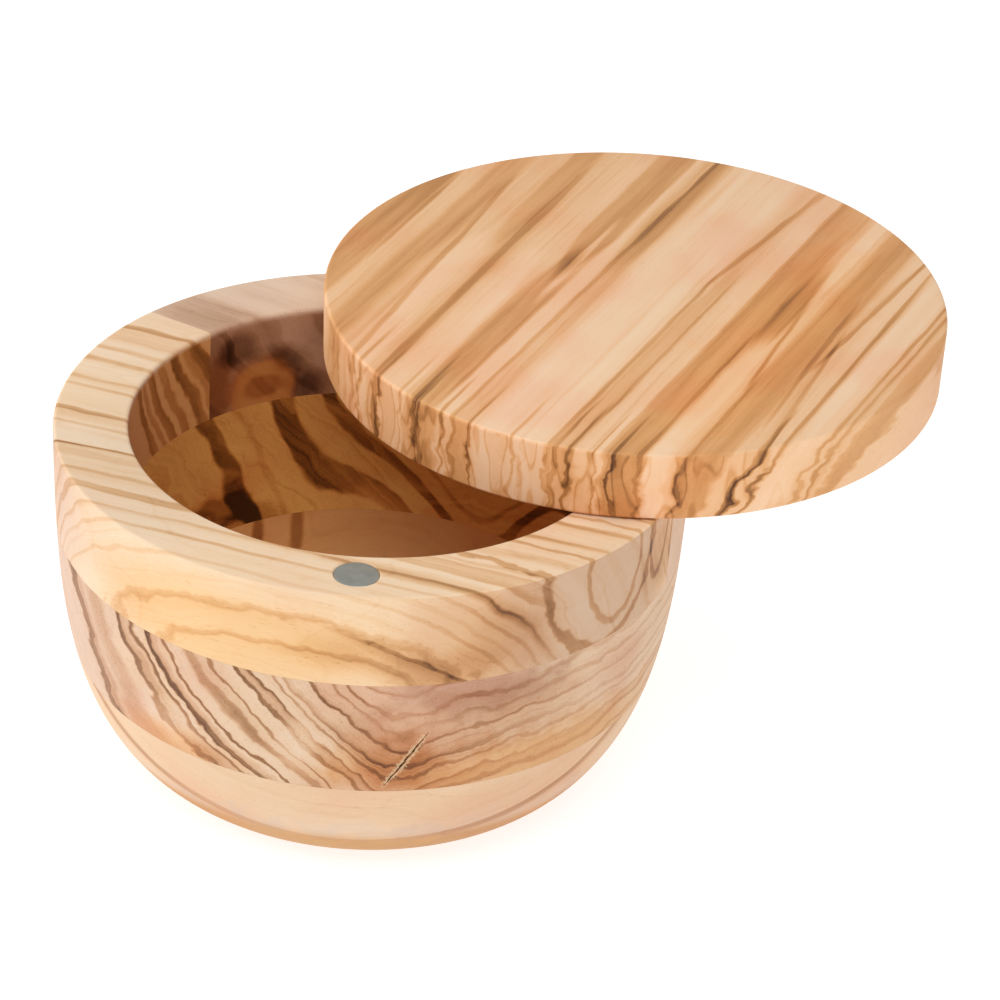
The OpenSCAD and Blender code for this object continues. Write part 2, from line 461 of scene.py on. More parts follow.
def makeLatheGroup():
    tree = bpy.data.node_groups.new("turnedOnLathe", "GeometryNodeTree")
    for label, kind, value in (("Outline", "NodeSocketGeometry", None), ("Steps", "NodeSocketInt", 96),
                               ("Sharp Angle", "NodeSocketFloat", 0.6), ("Weld", "NodeSocketFloat", 0.000001),
                               ("Material", "NodeSocketMaterial", None)):
        socket = tree.interface.new_socket(label, in_out="INPUT", socket_type=kind)
        if value is not None:
            socket.default_value = value
    tree.interface.new_socket("Turned", in_out="OUTPUT", socket_type="NodeSocketGeometry")
    given = add(tree, "NodeGroupInput").outputs
    out = add(tree, "NodeGroupOutput").inputs
    count = add(tree, "GeometryNodeAttributeDomainSize", {"Geometry": given["Outline"]},
                component="MESH").outputs["Point Count"]
    grid = add(tree, "GeometryNodeMeshGrid", {"Vertices X": maths(tree, "ADD", given["Steps"], 1.0),
                                              "Vertices Y": count}).outputs["Mesh"]
    index = add(tree, "GeometryNodeInputIndex").outputs[0]
    step = maths(tree, "FLOOR", maths(tree, "DIVIDE", index, count))
    position = add(tree, "GeometryNodeInputPosition").outputs[0]
    sample = add(tree, "GeometryNodeSampleIndex", data_type="FLOAT_VECTOR", domain="POINT")
    for label, value in (("Geometry", given["Outline"]), ("Value", position),
                         ("Index", maths(tree, "MODULO", index, count))):
        plug(tree, value, sample.inputs[label])
    point = split(tree, sample.outputs["Value"])
    angle = times(tree, maths(tree, "DIVIDE", step, given["Steps"]), math.tau)
    place = join(tree, times(tree, point["X"], maths(tree, "COSINE", angle)),
                 times(tree, point["X"], maths(tree, "SINE", angle)), point["Z"])
    moved = add(tree, "GeometryNodeSetPosition", {"Geometry": grid, "Position": place}).outputs[0]
    welded = add(tree, "GeometryNodeMergeByDistance", {
        "Geometry": moved, "Distance": given["Weld"]}).outputs[0]
    soft = add(tree, "GeometryNodeSetShadeSmooth", {"Geometry": welded}, domain="FACE").outputs[0]
    bend = add(tree, "GeometryNodeInputMeshEdgeAngle").outputs["Unsigned Angle"]
    crisp = add(tree, "GeometryNodeSetShadeSmooth", {
        "Geometry": soft, "Selection": maths(tree, "GREATER_THAN", bend, given["Sharp Angle"]),
        "Shade Smooth": False}, domain="EDGE").outputs[0]
    whole = add(tree, "GeometryNodeRealizeInstances", {"Geometry": crisp}).outputs[0]
    dressed = add(tree, "GeometryNodeSetMaterial", {"Geometry": whole, "Material": given["Material"]})
    plug(tree, dressed.outputs[0], out["Turned"])
    return tree


latheGroup = makeLatheGroup()
sharpAngle = 0.6  # an edge that bends more than this, in radians, stays crisp


def newObject(name, data):
    made = bpy.data.objects.new(name, data)
    bpy.context.scene.collection.objects.link(made)
    return made


def settle(piece):
    # the evaluated shape becomes the piece's own mesh
    shape = bpy.data.meshes.new_from_object(piece.evaluated_get(bpy.context.evaluated_depsgraph_get()))
    piece.modifiers.clear()
    piece.data = shape


def outwards(piece):
    work = bmesh.new()
    work.from_mesh(piece.data)
    bmesh.ops.recalc_face_normals(work, faces=work.faces)
    for edge in work.edges:
        if len(edge.link_faces) == 2 and edge.calc_face_angle(0) > sharpAngle:
            edge.smooth = False
    work.to_mesh(piece.data)
    work.free()


def turnOutline(name, outline, material, steps, centre=(0, 0)):
    # the outline is (radius, height) in millimetres, ending where it closes
    shape = bpy.data.meshes.new(name)
    edges = [(i, i + 1) for i in range(len(outline) - 1)]
    shape.from_pydata([(r * mm, 0, z * mm) for r, z in outline], edges, [])
    piece = newObject(name, shape)
    lathe = piece.modifiers.new("lathe", "NODES")
    lathe.node_group = latheGroup
    values = {"Steps": steps, "Material": material}
    for socket in latheGroup.interface.items_tree:
        if socket.item_type == "SOCKET" and socket.in_out == "INPUT" and socket.name in values:
            lathe[socket.identifier] = values[socket.name]
    settle(piece)
    piece.data.transform(Matrix.Translation((centre[0] * mm, centre[1] * mm, 0)))
    outwards(piece)
    return piece


def cutAway(piece, *cutters):
    for cutter in cutters:
        cut = piece.modifiers.new("cut", "BOOLEAN")
        cut.operation = "DIFFERENCE"
        cut.solver = "EXACT"
        cut.object = cutter
    settle(piece)
    for cutter in cutters:
        bpy.data.objects.remove(cutter)
    outwards(piece)


def wallPoint(turn, wall):
    # the turned wall: it leans in a little, then turns in to its foot
    angle = math.radians(turn)
    fall = math.sin(angle) ** (2 / wall["hold"])
    inward = 1 - max(math.cos(angle), 0) ** (2 / wall["turn"])
    reach = wall["top"] - wall["lean"] - wall["low"]
    return wall["top"] - wall["lean"] * fall - reach * inward, wall["rim"] - wall["height"] * fall


def wallTurn(high, wall):
    return math.degrees(math.asin(((wall["rim"] - high) / wall["height"]) ** (wall["hold"] / 2)))


def wallRun(high, low, wall, count):
    # points down the wall, from one height to another
    first, last = wallTurn(high, wall), wallTurn(low, wall)
    return [wallPoint(first + (last - first) * i / count, wall) for i in range(count + 1)]


def roundEdge(centre, radius, start, count=6):
    turns = [math.radians(start + 90 * i / count) for i in range(count + 1)]
    return [(centre[0] + radius * math.cos(t), centre[1] + radius * math.sin(t)) for t in turns]


# The bowl

bowl = {
    "outside": {"top": 57.5, "low": 30, "lean": 2.2, "height": 67.5, "rim": 67.5, "hold": 3.5, "turn": 2.06},
    "inside": {"top": 44, "low": 28, "lean": 0, "height": 56, "rim": 67.5, "hold": 3.5, "turn": 2.5},
    "rimUnder": 49, "middleUnder": 25, "glue": 0.03, "softEdge": 0.7, "wallStart": 1.2,
    "seamAngle": -29.4, "seamShift": 10.7, "steps": 224,
}
pins = {"fromAxis": 50, "radius": 2.5, "inRim": 13, "inLid": 9.4, "play": 0.05}
magnets = {"fromAxis": 50, "radius": 4, "thick": 3, "below": 0.12, "softEdge": 0.2, "pocketBevel": 0.22,
           "steps": 72}
holes = {"bevel": 0.2, "above": 1, "steps": 64}
lid = {"centre": (45.78, 29.90), "radius": 57.09, "under": 56.8, "low": 67.8, "thick": 13.2,
       "softEdge": 0.7, "steps": 224}
foot = {"clear": 0.25, "flatInset": 1.4, "easedInset": 0.5, "easedLift": 0.06}
fissure = {"from": (-75.8, 29.0), "to": (-83.2, 41.2), "width": 1.7, "deep": 2.2, "points": 26, "seed": 5,
           "ragged": (0.55, 1.15), "stray": 0.16, "mouth": 0.8}


def makeRim():
    # the walls start a little below the softened edges
    soft, wall, high = bowl["softEdge"], bowl["outside"], bowl["outside"]["rim"]
    start = high - bowl["wallStart"]
    low = bowl["rimUnder"] + bowl["glue"] / 2
    outline = roundEdge((bowl["inside"]["top"] + soft, high - soft), soft, 90)
    outline += wallRun(start, low, bowl["inside"], 16) + wallRun(start, low, wall, 16)[::-1]
    lean = wallPoint(wallTurn(start, wall), wall)[0] - wall["top"]
    outline += [(r + lean, z) for r, z in roundEdge((wall["top"] - soft, high - soft), soft, 0)]
    return turnOutline("rim", closed(outline), None, bowl["steps"])


def sawnAt(piece, name, side):
    # one board of the rim: what lies on one side of the glued seam
    board = newObject(name, piece.data.copy())
    angle = math.radians(bowl["seamAngle"])
    across = Vector((-math.sin(angle), math.cos(angle), 0))
    shift = bowl["seamShift"] + side * bowl["glue"] / 2
    work = bmesh.new()
    work.from_mesh(board.data)
    everything = work.verts[:] + work.edges[:] + work.faces[:]
    sawn = bmesh.ops.bisect_plane(work, geom=everything, dist=1e-7, plane_co=across * shift * mm,
                                  plane_no=across * side, clear_inner=True)
    rims = [e for e in sawn["geom_cut"] if isinstance(e, bmesh.types.BMEdge)]
    ends = bmesh.ops.edgenet_fill(work, edges=rims)["faces"]
    for face in ends:
        face.smooth = False
        for edge in face.edges:
            edge.smooth = False
    work.to_mesh(board.data)
    work.free()
    outwards(board)
    return board


def pocket(name, radius, low, high, bevel, centre):
    # a cutter for a round pocket with a small bevel at its mouth
    outline = [(0, low), (radius, low), (radius, high - bevel), (radius + bevel, high),
               (radius + bevel, high + holes["above"]), (0, high + holes["above"])]
    return turnOutline(name, outline, None, holes["steps"], centre)


def fissureCutter(crack):
    # an open crack in the wood: a jagged spindle that narrows inwards
    rough = random.Random(crack["seed"])
    count = crack["points"]
    work = bmesh.new()
    rings = []
    for i in range(count + 1):
        share = i / count
        depth = crack["from"][1] + (crack["to"][1] - crack["from"][1]) * share
        theta = crack["from"][0] + (crack["to"][0] - crack["from"][0]) * share
        turn = wallTurn(bowl["outside"]["rim"] - depth, bowl["outside"])
        r, z = wallPoint(turn, bowl["outside"])
        out = Vector((math.cos(math.radians(theta)), math.sin(math.radians(theta)), 0))
        side = Vector((-out.y, out.x, 0)) * 0.8 + Vector((0, 0, 0.6))
        wide = crack["width"] / 2 * math.sin(math.pi * min(max(share, 0.03), 0.97)) ** 0.6
        wide *= rough.uniform(*crack["ragged"])
        shift = side * rough.uniform(-crack["stray"], crack["stray"])
        mouth = out * r + Vector((0, 0, z)) + shift
        floor = mouth - out * crack["deep"] * math.sin(math.pi * min(max(share, 0.05), 0.95)) ** 0.5
        rings.append([work.verts.new(v * mm) for v in (
            mouth + side * wide + out * crack["mouth"], mouth + side * wide * 0.9, floor,
            mouth - side * wide * 0.9, mouth - side * wide + out * crack["mouth"])])
    for low, high in zip(rings, rings[1:]):
        for i in range(5):
            work.faces.new((low[i], low[(i + 1) % 5], high[(i + 1) % 5], high[i]))
    work.faces.new(rings[0])
    work.faces.new(rings[-1])
    shape = bpy.data.meshes.new("fissure")
    bmesh.ops.recalc_face_normals(work, faces=work.faces)
    work.to_mesh(shape)
    work.free()
    shape.materials.append(middleWood)
    return newObject("fissure", shape)


def closed(outline):
    return outline + [outline[0]]


def dress(piece, body, node):
    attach(piece, body)
    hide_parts(node)


# Woods, palest to darkest
woodColours = ("efd5ba", "e6c3a1", "d3a680", "b6875f", "8e6444", "694630", "422c1d")
ochreColours = ("f3dabc", "ecc9a2", "dbae7f", "bf8f60", "946a42", "6d4a2e", "442c18")
backColours = ("efdcc8", "e5ccb3", "d1b095", "b48f70", "8c6950", "694a38", "44301f")
lidColours = ("f5d5b4", "f0c59b", "e2ab75", "cb9159", "a67343", "80532e", "57361e")

# Each board's places are in millimetres along, across and up from its centre:
# streaks: place across, width, edge, strength, then fade, start, end, drift
# spots: centre, radii, edge, strength. calm: centre, radii, edge, share
# loops: centre, radii, line width, line strength, shade within
# stains, and painted light at the base's foot: centre, radii, edge, colour, share. wallStains: only on the
# walls
# contour: stretch, line width, strength on sawn ends, strength elsewhere
# inside: the inner walls' own grain, with a darker tone and a tint that are painted shade
# outside: a colour over the outer walls, painted shade that keeps them darker than the tops

lidBoard = {
    "centre": (45.78, 29.9, 81), "grainAngle": -113.8, "way": -1, "seed": 3, "ragged": 0.5,
    "planes": {"leanLow": 0, "leanHigh": -0.45, "turnFrom": 22, "turnTo": 38},
    "wander": [
        {"amount": 3.2, "size": 4.5, "stretch": 3, "still": 0.92},
        {"amount": 0.45, "size": 1.3, "stretch": 9, "still": 0}],
    "tone": 0.2, "broad": 0.34, "lines": 0.12, "threads": 0.13, "lineSpacing": 2.4, "fibre": 0.1,
    "pores": 0.08, "relief": 0.25, "colours": lidColours, "blush": 0.6, "blushColour": "fde6df",
    "endGrain": 0.5, "contour": ((0.012, 0.2, 0.055), 0.03, 0.17, 0),
    "streaks": [
        (-45, 34, 8, 0.06), (-53, 5.5, 1.6, 0.24), (-49, 0.4, 0.5, 0.25, 0.01, -14, 28),
        (-42, 3.6, 1.8, 0.16), (-37.7, 0.6, 0.6, 0.26, -4, -70, 34, -0.0645),
        (-33.5, 5, 2.5, -0.08, 0.01, -99, 14), (-31.5, 3, 1.5, 0.14, 0.01, 0),
        (-28.4, 1.2, 0.6, 0.22, 2.2, -60, 46, -0.01), (-23.5, 5, 1.8, -0.07, 0.01, -99, 10),
        (-15.8, 5.6, 1.1, 0.27, 0.01, -4, 80), (-16.2, 4, 1.8, 0.22, 0.01, -99, 14),
        (-14.9, 1, 0.6, -0.26, 0.01, -14, 28), (-18, 0.4, 0.5, 0.3, 0.01, -72, -34),
        (-13.2, 0.4, 0.6, 0.18, 0.01, -55, 20, 0.01), (-9, 0.5, 0.6, 0.26, 6, -80, 80, 0.01),
        (-8, 3.4, 2, 0.14, 0.01, 2, 90), (2, 10, 4, -0.1), (4.2, 0.2, 0.5, 0.07, 0.01, -70, 30),
        (9.6, 0.5, 0.45, 0.28, 1.6, -80, 17, 0.005), (8.4, 0.7, 0.6, 0.22, 1.6, 4, 80, 0.1),
        (12, 2.6, 0.8, 0.08, 0.01, -70, 24), (13.4, 0.3, 0.4, 0.12, 0.01, -50, 20), (17, 3.5, 1.5, -0.04),
        (19, 0.6, 0.6, 0.22, 3, -80, 80), (22.4, 5, 1.2, 0.17), (24.5, 0.4, 0.5, 0.3, -1.6, -75, 2),
        (28.5, 1.8, 0.8, -0.26, 0.01, 12, 80), (26.6, 3, 1.8, 0.26, 0.01, -10, 32),
        (28, 0.4, 0.5, 0.22, 0.01, -8, 24), (27.6, 2.4, 1.4, -0.18, 0.01, -75, 2),
        (29.5, 0.4, 0.5, 0.3, 0.01, -24, 16, -0.083), (31.3, 0.5, 0.4, 0.17, 1.5, -80, -10, -0.02),
        (34.8, 5, 1.6, 0.2), (37.4, 0.4, 0.6, 0.2, 0.01, -34, 22, -0.06),
        (39.2, 0.5, 0.5, 0.3, -1.5, -12, 48, 0.055), (39.2, 0.5, 0.5, 0.3, -2, -55, 10, -0.09),
        (44.4, 0.4, 0.5, 0.32, 1.5, -50, 44, -0.016), (47.6, 3.5, 1.4, -0.08), (51, 0.3, 0.4, 0.2),
        (52.6, 0.3, 0.4, 0.22, 1.2), (55.8, 2.2, 1, 0.2), (-32.6, 0.5, 0.4, 0.32, 0.01, -99, -30),
        (-27, 0.6, 0.4, 0.34, 0.01, -99, -34), (-21.5, 0.3, 0.3, 0.26, 0.01, -99, -36),
        (-17.3, 0.7, 0.4, 0.28, 0.01, -99, -38), (-12, 0.4, 0.4, 0.26, 0.01, -99, -38),
        (-6, 0.3, 0.4, 0.22, 0.01, -99, -38), (2.4, 0.4, 0.4, 0.24, 0.01, -99, -38),
        (10.4, 0.7, 0.4, 0.34, 0.01, -99, -36), (12.8, 0.5, 0.4, 0.3, 0.01, -99, -36),
        (17, 0.3, 0.3, 0.26, 0.01, -99, -36), (20.4, 0.4, 0.4, 0.24, 0.01, -99, -34),
        (42.2, 0.9, 0.4, 0.3, 0.01, -99, -20)],
    "stainsAndPaintedLight": [((0, 28, 0), (46, 10, 20), 0.5, "ffecd0", 0.8)]
}

frontBoard = {
    "centre": (0, 0, 67.5), "grainAngle": -18, "way": 1, "seed": 11, "ragged": 0.22,
    "planes": {"leanLow": 1, "leanHigh": 0.5, "turnFrom": -45, "turnTo": -20},
    "wander": [
        {"amount": 3, "size": 11, "stretch": 1.8, "still": 0.5},
        {"amount": 0.9, "size": 3.5, "stretch": 2.5, "still": 0.4}],
    "tone": 0.07, "broad": 0.2, "lines": 0.1, "threads": 0.12, "lineSpacing": 2.2, "fibre": 0.1,
    "pores": 0.12, "relief": 0.3, "colours": ochreColours, "blush": 0.2, "blushColour": "fbe3da",
    "endGrain": 0.1, "contour": ((0.03, 0.07, 0.07), 0.012, 0, 0.04),
    "streaks": [
        (14.5, 0.8, 0.7, 0.34, -3), (10, 1.6, 1.6, 0.13), (5.5, 0.6, 0.8, 0.2), (1.2, 0.5, 0.8, 0.2, -2),
        (-5.9, 0.5, 0.6, 0.22, -1.6), (-8.8, 0.4, 0.5, 0.24), (-16.9, 0.8, 0.6, 0.34, -3.5),
        (-21.2, 0.4, 0.6, 0.16, 0.01, -99, 20), (-23.4, 0.5, 0.6, 0.3, -1.5, 0),
        (-27.8, 0.3, 0.4, 0.42, -1.5, -99, 0), (-30.4, 1.2, 1.2, 0.16), (-35.4, 0.5, 0.6, 0.24, -2.5),
        (-40, 1.4, 0.7, 0.22), (-44.7, 0.4, 0.5, 0.24, -1.6), (-48.7, 0.4, 0.6, 0.18),
        (-55, 0.4, 0.6, 0.14), (-62.8, 0.4, 0.6, 0.26, -3, 10), (-37.8, 1.4, 0.9, 0.22, 0.01, 4),
        (-44.4, 1.8, 1.6, 0.2, 0.01, 4)],
    "spots": [
        ((16, -52, -12), (9, 8, 3.5), 0.7, 0.16), ((31, -48, -15.5), (9, 9, 4), 0.6, 0.24),
        ((41, -39, -11), (9, 10, 8), 0.6, 0.15), ((57, -5, -10), (8, 7, 7), 0.6, 0.22),
        ((-6, -56, -10), (30, 12, 8), 0.6, 0.04)],
    "calm": [((54, -20, -8), (16, 20, 22), 0.35, 0.8)],
    "loops": [
        ((2.5, -56, -18), (31, 90, 12.5), 0.08, 0.15, 0.06),
        ((5, -56, -19.5), (23, 90, 8), 0.09, 0.15, 0.06), ((52, -22, -2), (60, 12.5, 17), 0.09, 0.34, 0.03),
        ((54, -20, -3), (60, 6.5, 12), 0.1, 0.28, 0.03), ((54, -7, -2), (60, 3.4, 10), 0.14, 0.28, 0.06),
        ((54, 2, -4), (60, 3.4, 14), 0.14, 0.22, 0.06)],
    "stainsAndPaintedLight": [
        ((-6, -56, -12), (30, 12, 9), 0.5, "ffecc8", 0.7),
        ((-40, -42, 0), (24, 22, 20), 0.5, "f2f4f8", 0.6)],
    "wallStains": [
        ((50, -22, -10), (18, 21, 30), 0.4, "e0d8da", 1),
        ((-50, -20, -8), (20, 24, 30), 0.5, "eee8f6", 0.9),
        ((35, -45, -11), (12, 11, 14), 0.5, "ecdcd2", 0.85)],
    "outside": "fcfbf8",
    "inside": {
        "tone": 0.15, "tint": "f6dcb4", "spots": [],
        "streaks": [
            (-6, 1.4, 0.9, 0.34), (-2.6, 0.8, 0.9, 0.27), (0.6, 1.6, 0.9, 0.34), (4.4, 1, 0.9, 0.3),
            (8.6, 1.8, 0.9, 0.36), (11.8, 0.6, 0.9, 0.26), (14.4, 2.4, 0.9, 0.4)]}
}

backBoard = {
    "centre": (0, 0, 67.5), "grainAngle": -29.4, "way": 1, "seed": 23, "ragged": 0.35,
    "planes": {"leanLow": 0.5, "leanHigh": 0.7, "turnFrom": 10, "turnTo": 50},
    "wander": [
        {"amount": 5, "size": 14, "stretch": 2, "still": 0.2},
        {"amount": 1, "size": 4, "stretch": 3, "still": 0.2}],
    "tone": 0.22, "broad": 0.25, "lines": 0.12, "threads": 0.12, "lineSpacing": 3, "fibre": 0.12,
    "pores": 0.12, "relief": 0.3, "colours": backColours, "blush": 0.3, "blushColour": "f3dcd3",
    "endGrain": 0.15, "contour": ((0.02, 0.05, 0.05), 0.02, 0, 0.03),
    "streaks": [
        (20, 2.5, 2, 0.1), (31, 0.8, 1, 0.2, -3, -30), (39, 1.2, 1, 0.18, 0.01, -20),
        (47, 0.6, 0.8, 0.24, -3), (56, 1, 0.8, 0.2)],
    "spots": [((-46, 14, 0), (11, 4, 9), 0.7, 0.22)],
    "inside": {
        "tone": 0.14, "tint": "f0e0d4",
        "streaks": [
            (14, 1.2, 0.8, 0.16), (22, 1.4, 1, 0.12), (30, 1.4, 1, 0.16), (37, 1.4, 1, 0.16)],
        "spots": [
            ((-38.3, 21.5, -16), (14, 6, 6.6), 0.12, -0.3), ((-38.3, 21.7, -15), (12, 3.6, 2.4), 0.3, 0.34),
            ((-40.5, 17, -5.5), (5, 4, 3.5), 0.6, 0.36), ((-33.5, 28.8, -16.5), (5, 3, 3.5), 0.6, 0.4),
            ((-35.6, 26.2, -10.6), (5, 3, 2.6), 0.7, 0.32), ((-38, 22, -8), (5, 4, 1.6), 0.7, 0.18),
            ((-42.5, 12, -10), (4, 3.5, 14), 0.5, 0.24)]},
    "stainsAndPaintedLight": [
        ((-38.3, 21.5, -16), (10, 7, 7.6), 0.2, "e8b879", 1),
        ((-42.5, 12.5, -13), (5, 4.6, 8), 0.6, "e4b888", 0.9)]
}

middleBoard = {
    "centre": (0, 0, 67.5), "grainAngle": -90, "way": -1, "seed": 31, "ragged": 0.8,
    "bend": {"leanLow": 0.35, "leanHigh": 1, "turnFrom": -50, "turnTo": -6, "hinge": 20, "bendFrom": -2,
             "bendTo": 16, "flatPlace": 30.9, "flatDepth": 1.1, "flatAcross": 0.198},
    "wander": [
        {"amount": 3.4, "size": 13, "stretch": 2.2, "still": 0},
        {"amount": 2, "size": 5.5, "stretch": 2, "still": 0},
        {"amount": 0.8, "size": 2, "stretch": 2.4, "still": 0}],
    "tone": 0.14, "broad": 0.26, "lines": 0.16, "threads": 0.26, "lineSpacing": 2, "fibre": 0.16,
    "pores": 0.2, "relief": 0.45, "colours": woodColours, "blush": 0.8, "blushColour": "f3ddd8",
    "endGrain": 0.1, "contour": ((0.02, 0.05, 0.05), 0.012, 0, 0.03),
    "streaks": [
        (-50.8, 1, 0.6, 0.6, 3), (-46.5, 1.6, 1.4, 0.16), (-41.6, 0.6, 0.6, 0.5, 4),
        (-38.4, 0.4, 0.5, 0.38), (-35.8, 1, 0.5, 0.62, 2.4), (-32.2, 0.3, 0.4, 0.4),
        (-27.2, 1.4, 1.2, 0.34, 3.2), (-23.8, 0.3, 0.4, 0.34), (-19.2, 0.8, 0.5, 0.6, 2.6),
        (-16.4, 0.4, 0.4, 0.43, -1.2), (-12.8, 0.3, 0.5, 0.31), (-10.4, 0.3, 0.5, 0.31, 1.5),
        (-5.6, 0.4, 0.5, 0.41, 1.5), (-1.6, 0.3, 0.5, 0.26), (1.6, 0.4, 0.5, 0.34),
        (6.4, 0.3, 0.5, 0.26, 1.2), (12.4, 0.3, 0.5, 0.22)],
    "spots": [
        ((54.5, 9, -37), (6, 7, 5.5), 0.7, 0.2), ((53, 16, -33), (8, 7, 3), 0.8, 0.08),
        ((49, 25, -28), (14, 16, 8), 0.6, 0.09), ((55.6, 2, -30), (6, 5, 6), 0.7, 0.12),
        ((44.6, -32, -36), (6, 6, 5), 0.6, -0.15), ((55, -6, -35), (7, 7, 5), 0.6, -0.09)],
    "outside": "f4f6f8",
    "wallStains": [
        ((51, 22, -21), (16, 14, 5), 0.5, "e6dcdc", 1), ((48, 31, -27), (10, 10, 7), 0.6, "f4ece8", 0.9),
        ((20, -54, -30), (26, 20, 20), 0.5, "f4f0fa", 0.8)],
    "stainsAndPaintedLight": [
        ((43, -30, -41), (9, 12, 3.6), 0.6, "ffe6c8", 0.9),
        ((40, 34, -40), (30, 26, 6.5), 0.6, "f6d9ae", 0.85),
        ((54, 8, -37), (13, 13, 6), 0.9, "f0cb9a", 0.8)],
    "crack": {"line": {"from": (55.2, 13.96, -29), "to": (54.5, 6.5, -41.2)},
              "lip": "d6b48c", "pit": "3c2616"},
    "calm": [
        ((35, 46, -30), (42, 34, 26), 0.7, 0.65), ((54, 11, -25), (12, 9, 8), 0.7, 0.6),
        ((55, -9, -32), (8, 3.5, 6), 0.5, 0.6)],
    "inside": {
        "tone": 0.06, "tint": "ffe298",
        "bend": {"leanLow": 0.36, "leanHigh": 0.95, "turnFrom": -18, "turnTo": 4, "hinge": 20,
                 "bendFrom": 14, "bendTo": 34, "flatPlace": 24, "flatDepth": 0.9, "flatAcross": 0.2},
        "streaks": [
            (-32.2, 2.4, 0.9, 0.5), (-18.2, 3.6, 1, 0.5), (-9.2, 1.8, 0.9, 0.46), (-26, 0.4, 0.8, 0.12),
            (-4, 0.4, 0.8, 0.18), (4, 0.6, 0.8, 0.2)],
        "spots": [
            ((-29.4, -30.3, -38.6), (7, 7, 3.6), 0.3, 0.42), ((-33, -23, -42), (6, 6, 3), 0.4, 0.3),
            ((-41.6, 4, -40.3), (6, 8, 3.5), 0.5, -0.24)]}
}

baseBlock = {
    "centre": (0, 0, 67.5), "grainAngle": 0, "way": 1, "seed": 43, "ragged": 0.5,
    "planes": {"leanLow": -1.316, "leanHigh": -1.316, "turnFrom": -1, "turnTo": 1},
    "wander": [{"amount": 2, "size": 16, "stretch": 4, "still": 0}], "tone": 0.17, "broad": 0.12,
    "lines": 0.05, "threads": 0.08, "lineSpacing": 2.6, "fibre": 0.1, "pores": 0.08, "relief": 0.25,
    "colours": woodColours, "blush": 0.4, "blushColour": "fbe0cf", "endGrain": 0.1,
    "contour": ((0.03, 0.07, 0.07), 0.012, 0, 0.03),
    # painted light: near the foot the first colour and the spot below make the wood paler and less orange,
    # lifting its shade
    "stainsAndPaintedLight": [
        ((0, 0, -67), (90, 90, 13), 0.4, "e8efff", 1), ((28, -42, -54), (16, 14, 10), 0.6, "f6eae6", 0.9)],
    "outside": "fafbfa", "spots": [((0, 0, -66), (90, 90, 13), 0.5, -0.1)],
    "streaks": [
        (30.2, 2.4, 0.7, 0.24), (32, 1, 1, 0.1, 4), (47, 1, 1.2, 0.1, 3), (62, 1, 1.2, 0.12, 4),
        (80, 1, 1.2, 0.12, 4)],
    "inside": {
        "tone": 0.05, "tint": "fae0b0", "streaks": [],
        "spots": [
            ((-22.4, 32, -45), (1.1, 6, 5), 0.4, 0.4), ((-15.2, 35.9, -45), (1.3, 6, 5), 0.4, 0.36)]}
}


def brushedSteel(name, pale, dark, smoothest, roughest):
    # plated metal with a faint cloudiness
    material, tree = newMaterial(name)
    place = add(tree, "ShaderNodeTexCoord").outputs["Object"]
    cloud = noiseAt(tree, place, 420.0, 4.0)
    shade = blend(tree, smooth(tree, cloud, 0.35, 0.65), paint(pale), paint(dark))
    bump = bumpOf(tree, 0.25, 0.00002, noiseAt(tree, place, 4200.0, 2.0))
    skinOn(tree, {"Base Color": shade, "Normal": bump, "Metallic": 1.0,
                  "Roughness": smooth(tree, cloud, 0.3, 0.7, smoothest, roughest)})
    return material


def washerNylon():
    material, tree = newMaterial("washerNylon")
    cloud = noiseAt(tree, add(tree, "ShaderNodeTexCoord").outputs["Object"], 500.0, 3.0)
    skinOn(tree, {"Base Color": blend(tree, cloud, paint("ece6d8"), paint("d9d1c0")),
                  "Normal": bumpOf(tree, 0.2, 0.00002, cloud),
                  "Roughness": smooth(tree, cloud, 0.3, 0.7, 0.4, 0.55)})
    return material


lidWood = oliveWood("lidWood", lidBoard)
frontWood = oliveWood("rimFrontWood", frontBoard)
backWood = oliveWood("rimBackWood", backBoard)
middleWood = oliveWood("middleWood", middleBoard)
baseWood = oliveWood("baseWood", baseBlock)
magnetMetal = brushedSteel("magnetMetal", "b4b5ad", "aaaba3", 0.45, 0.55)
pinMetal = brushedSteel("pinMetal", "c4c4c0", "a9aaa8", 0.22, 0.34)
print("stage: materials built")

# The rim, sawn along its glued seam, with the magnet's pocket and the pin's bore
rim = makeRim()
rimFront = sawnAt(rim, "rimFrontBoard", -1)
rimBack = sawnAt(rim, "rimBackBoard", 1)
bpy.data.objects.remove(rim)
rimTop = bowl["outside"]["rim"]
cutAway(rimFront, pocket("magnetPocket", magnets["radius"] + bowl["glue"],
                         rimTop - magnets["thick"] - bowl["glue"], rimTop, magnets["pocketBevel"],
                         (0, -magnets["fromAxis"])))
cutAway(rimBack, pocket("pinBore", pins["radius"] + bowl["glue"], rimTop - pins["inRim"] - bowl["glue"],
                        rimTop, holes["bevel"], (0, pins["fromAxis"])))
for board, wood in ((rimFront, frontWood), (rimBack, backWood)):
    board.data.materials.clear()
    board.data.materials.append(wood)
dress(rimFront, "bowl", "rim_front_board")
dress(rimBack, "bowl", "rim_back_board")
print("stage: rim boards turned and sawn")

# The middle layer, with its open crack
top = bowl["rimUnder"] - bowl["glue"] / 2
low = bowl["middleUnder"] + bowl["glue"] / 2
outline = wallRun(top, low, bowl["outside"], 24) + wallRun(top, low, bowl["inside"], 24)[::-1]
middle = turnOutline("middleRing", closed(outline), middleWood, bowl["steps"])
cutAway(middle, fissureCutter(fissure))
dress(middle, "bowl", "middle_ring")

